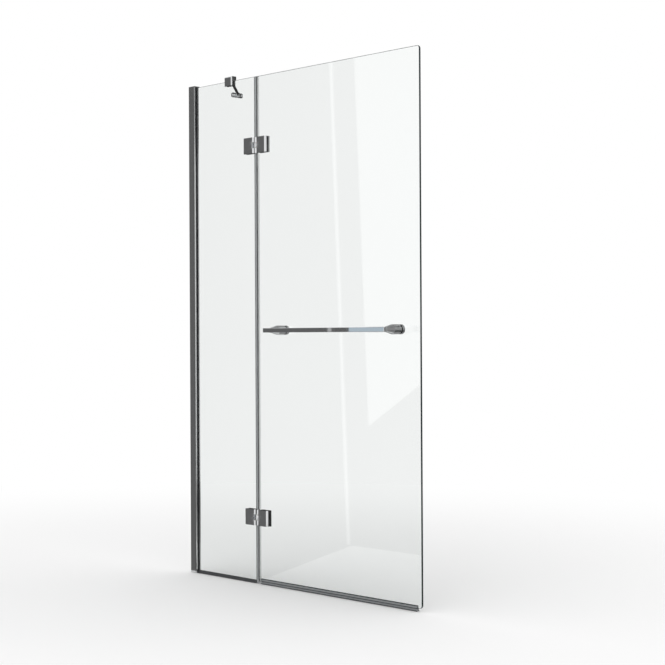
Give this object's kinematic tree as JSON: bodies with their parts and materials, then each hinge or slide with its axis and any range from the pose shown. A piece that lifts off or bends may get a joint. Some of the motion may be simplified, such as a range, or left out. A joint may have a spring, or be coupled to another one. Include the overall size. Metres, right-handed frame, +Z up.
{
  "type": "bath screen",
  "caption": "Hinged glass bath screen: a fixed panel in a wall channel with a slanted brace, and a swinging door panel with a towel rail.",
  "frame": {"origin": "foot of the wall channel's back face, in the middle of the glass, on the rim that the screen stands on", "axes": "+X from the wall to the free edge, +Y from the outside into the bath, +Z up"},
  "size_m": [0.9, 0.263, 1.413],
  "materials": {
    "clear_glass": "clear toughened glass with polished edges",
    "bright_profile": "bright polished anodised",
    "chrome_fittings": "polished chrome plate",
    "plated_plastic": "bright plated moulding",
    "clear_seal": "translucent soft seal",
    "grey_gasket": "dark soft gasket",
    "black_rubber": "black soft pad",
    "white_nylon": "natural nylon",
    "steel_fixings": "stainless steel"
  },
  "bodies": {
    "fixed_side": {"adjusting_screws": "steel_fixings", "back_gasket": "grey_gasket", "brace_arm": "chrome_fittings", "brace_clamp": "chrome_fittings", "brace_clamp_pad": "black_rubber", "brace_clamp_screw": "steel_fixings", "brace_clamp_set_screw": "steel_fixings", "brace_foot_set_screw": "steel_fixings", "brace_wall_foot": "chrome_fittings", "channel_top_cap": "plated_plastic", "fixed_base_strip": "grey_gasket", "fixed_glass": "clear_glass", "fixed_leaf_screws": "steel_fixings", "front_gasket": "grey_gasket", "glass_carrier": "bright_profile", "lower_hinge_fixed_back_plate": "chrome_fittings", "lower_hinge_fixed_leaf": "chrome_fittings", "lower_hinge_fixed_liners": "black_rubber", "lower_hinge_pin": "steel_fixings", "screw_cover_caps": "plated_plastic", "upper_hinge_fixed_back_plate": "chrome_fittings", "upper_hinge_fixed_leaf": "chrome_fittings", "upper_hinge_fixed_liners": "black_rubber", "upper_hinge_pin": "steel_fixings", "wall_channel": "bright_profile"},
    "door": {"door_bottom_seal": "clear_seal", "door_edge_seal_lower": "clear_seal", "door_edge_seal_middle": "clear_seal", "door_edge_seal_upper": "clear_seal", "door_glass": "clear_glass", "door_leaf_screws": "steel_fixings", "lower_hinge_bushes": "white_nylon", "lower_hinge_door_back_plate": "chrome_fittings", "lower_hinge_door_leaf": "chrome_fittings", "lower_hinge_door_liners": "black_rubber", "rail_bar": "chrome_fittings", "rail_left_button": "chrome_fittings", "rail_left_post": "chrome_fittings", "rail_right_button": "chrome_fittings", "rail_right_post": "chrome_fittings", "rail_sleeves": "white_nylon", "rail_studs": "steel_fixings", "rail_washers": "black_rubber", "upper_hinge_bushes": "white_nylon", "upper_hinge_door_back_plate": "chrome_fittings", "upper_hinge_door_leaf": "chrome_fittings", "upper_hinge_door_liners": "black_rubber"}
  },
  "joints": [
    {"name": "door_swing", "type": "hinge", "parent": "fixed_side", "child": "door", "pos_m": [0.285, 0, 0.7], "axis": [0, 0, 1], "range_deg": [-90, 90]}
  ]
}
